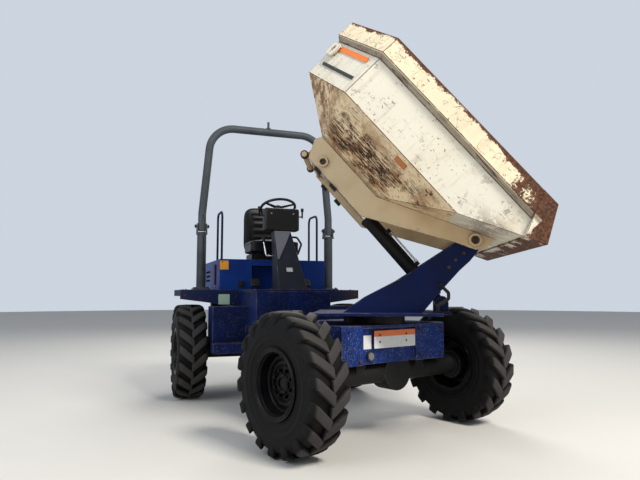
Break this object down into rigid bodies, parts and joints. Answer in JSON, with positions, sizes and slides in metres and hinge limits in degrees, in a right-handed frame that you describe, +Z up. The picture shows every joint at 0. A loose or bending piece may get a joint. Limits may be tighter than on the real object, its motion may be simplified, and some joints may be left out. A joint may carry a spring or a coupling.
{
  "type": "site dumper",
  "caption": "Articulated site dumper with a slewing, front-tipping steel skip, folding roll-over hoop and rear operator platform.",
  "frame": {"origin": "on the ground at the middle of the parked footprint", "axes": "+X is the rear chassis's forward direction, +Y its left, +Z up"},
  "size_m": [3.9408, 2.4664, 2.8021],
  "materials": {
    "blue_paint": "worn semi-gloss",
    "white_paint": "scratched and rusty",
    "cream_paint": "weathered",
    "grey_paint": "satin",
    "black_paint": "satin",
    "tyre_rubber": "dusty",
    "dark_iron": "oily",
    "bright_steel": "polished",
    "seat_vinyl": "glossy vinyl",
    "black_plastic": "worn",
    "rubber": "matt",
    "cast_iron": "rough",
    "red_lens": "moulded",
    "sign_plate": "blank"
  },
  "bodies": {
    "pivot": {"centre_pivot": "dark_iron"},
    "rear": {"console": "blue_paint", "control_levers": "black_plastic", "engine": "cast_iron", "engine_housing": "blue_paint", "grab_rails": "blue_paint", "instrument_box": "black_plastic", "platform": "blue_paint", "rear_axle": "dark_iron", "rear_bumper": "dark_iron", "rear_chassis": "blue_paint", "rear_lamps": "red_lens", "rops_posts": "grey_paint", "seat_back": "seat_vinyl", "seat_base": "black_paint", "seat_bracket": "black_paint", "seat_cushion": "seat_vinyl", "side_steps": "blue_paint", "steering_column": "black_paint", "tow_hitch": "dark_iron"},
    "hood": {"engine_hood": "blue_paint"},
    "front": {"front_axle": "dark_iron", "front_chassis": "blue_paint", "nose_sign": "sign_plate", "slew_ring": "dark_iron"},
    "ram_barrel": {"ram_barrel": "black_paint"},
    "table": {"ram_hose": "rubber", "slew_table": "blue_paint", "tower": "blue_paint"},
    "ram_rod": {"ram_rod": "bright_steel"},
    "skip": {"rest_pads": "rubber", "skip_rim": "white_paint", "skip_tub": "white_paint", "skip_underframe": "cream_paint", "travel_latch_bar": "cream_paint"},
    "wheel_front_left": {"rim_front_left": "black_paint", "tyre_front_left": "tyre_rubber"},
    "wheel_front_right": {"rim_front_right": "black_paint", "tyre_front_right": "tyre_rubber"},
    "wheel_rear_left": {"rim_rear_left": "black_paint", "tyre_rear_left": "tyre_rubber"},
    "wheel_rear_right": {"rim_rear_right": "black_paint", "tyre_rear_right": "tyre_rubber"},
    "rops_hoop": {"rops_hoop": "grey_paint"},
    "steering_wheel": {"steering_wheel": "black_plastic"}
  },
  "joints": [
    {"name": "chassis_oscillation", "type": "hinge", "parent": "rear", "child": "pivot", "pos_m": [-0.14037, -0.31022, 0.565], "axis": [1, 0, 0], "range_deg": [-8, 8]},
    {"name": "articulated_steering", "type": "hinge", "parent": "pivot", "child": "front", "pos_m": [0.00963, -0.31022, 0.565], "axis": [0, 0, 1], "range_deg": [-53.9, 16.1]},
    {"name": "skip_slew", "type": "hinge", "parent": "front", "child": "table", "pos_m": [0.84786, -0.02323, 0.816], "axis": [0, 0, 1], "range_deg": [-137.2, 42.8]},
    {"name": "skip_tip", "type": "hinge", "parent": "table", "child": "skip", "pos_m": [1.1116, 0.57195, 1.307], "axis": [-0.9143, 0.4051, 0], "range_deg": [-48.9, 0]},
    {"name": "ram_swing", "type": "hinge", "parent": "table", "child": "ram_barrel", "pos_m": [1.03625, 0.4019, 0.9], "axis": [-0.9143, 0.4051, 0], "range_deg": [-48.96, 0.2]},
    {"name": "ram_extension", "type": "slide", "parent": "ram_barrel", "child": "ram_rod", "axis": [-0.2627, -0.5928, 0.7613], "range_m": [-0.3709, 0.0005]},
    {"name": "rops_fold", "type": "hinge", "parent": "rear", "child": "rops_hoop", "pos_m": [-1.10937, -0.31022, 1.625], "axis": [0, -1, 0], "range_deg": [0, 95]},
    {"name": "hood_lift", "type": "hinge", "parent": "rear", "child": "hood", "pos_m": [-1.28637, -0.31022, 1.296], "axis": [0, 1, 0], "range_deg": [0, 60]},
    {"name": "steering_wheel_turn", "type": "hinge", "parent": "rear", "child": "steering_wheel", "pos_m": [-0.69537, -0.31022, 1.765], "axis": [-0.3746, 0, 0.9272], "continuous": true},
    {"name": "front_right_roll", "type": "hinge", "parent": "front", "child": "wheel_front_right", "pos_m": [1.19333, -0.74208, 0.43], "axis": [-0.3239, 0.9461, 0], "continuous": true},
    {"name": "front_left_roll", "type": "hinge", "parent": "front", "child": "wheel_front_left", "pos_m": [0.68025, 0.75652, 0.43], "axis": [-0.3239, 0.9461, 0], "continuous": true},
    {"name": "rear_right_roll", "type": "hinge", "parent": "rear", "child": "wheel_rear_right", "pos_m": [-0.95537, -1.10222, 0.43], "axis": [0, 1, 0], "continuous": true},
    {"name": "rear_left_roll", "type": "hinge", "parent": "rear", "child": "wheel_rear_left", "pos_m": [-0.95537, 0.48178, 0.43], "axis": [0, 1, 0], "continuous": true}
  ],
  "couplings": [
    {"joint": "ram_swing", "follows": "skip_tip", "ratio": 0.99501},
    {"joint": "ram_extension", "follows": "skip_tip", "m_per_rad": 0.434}
  ]
}
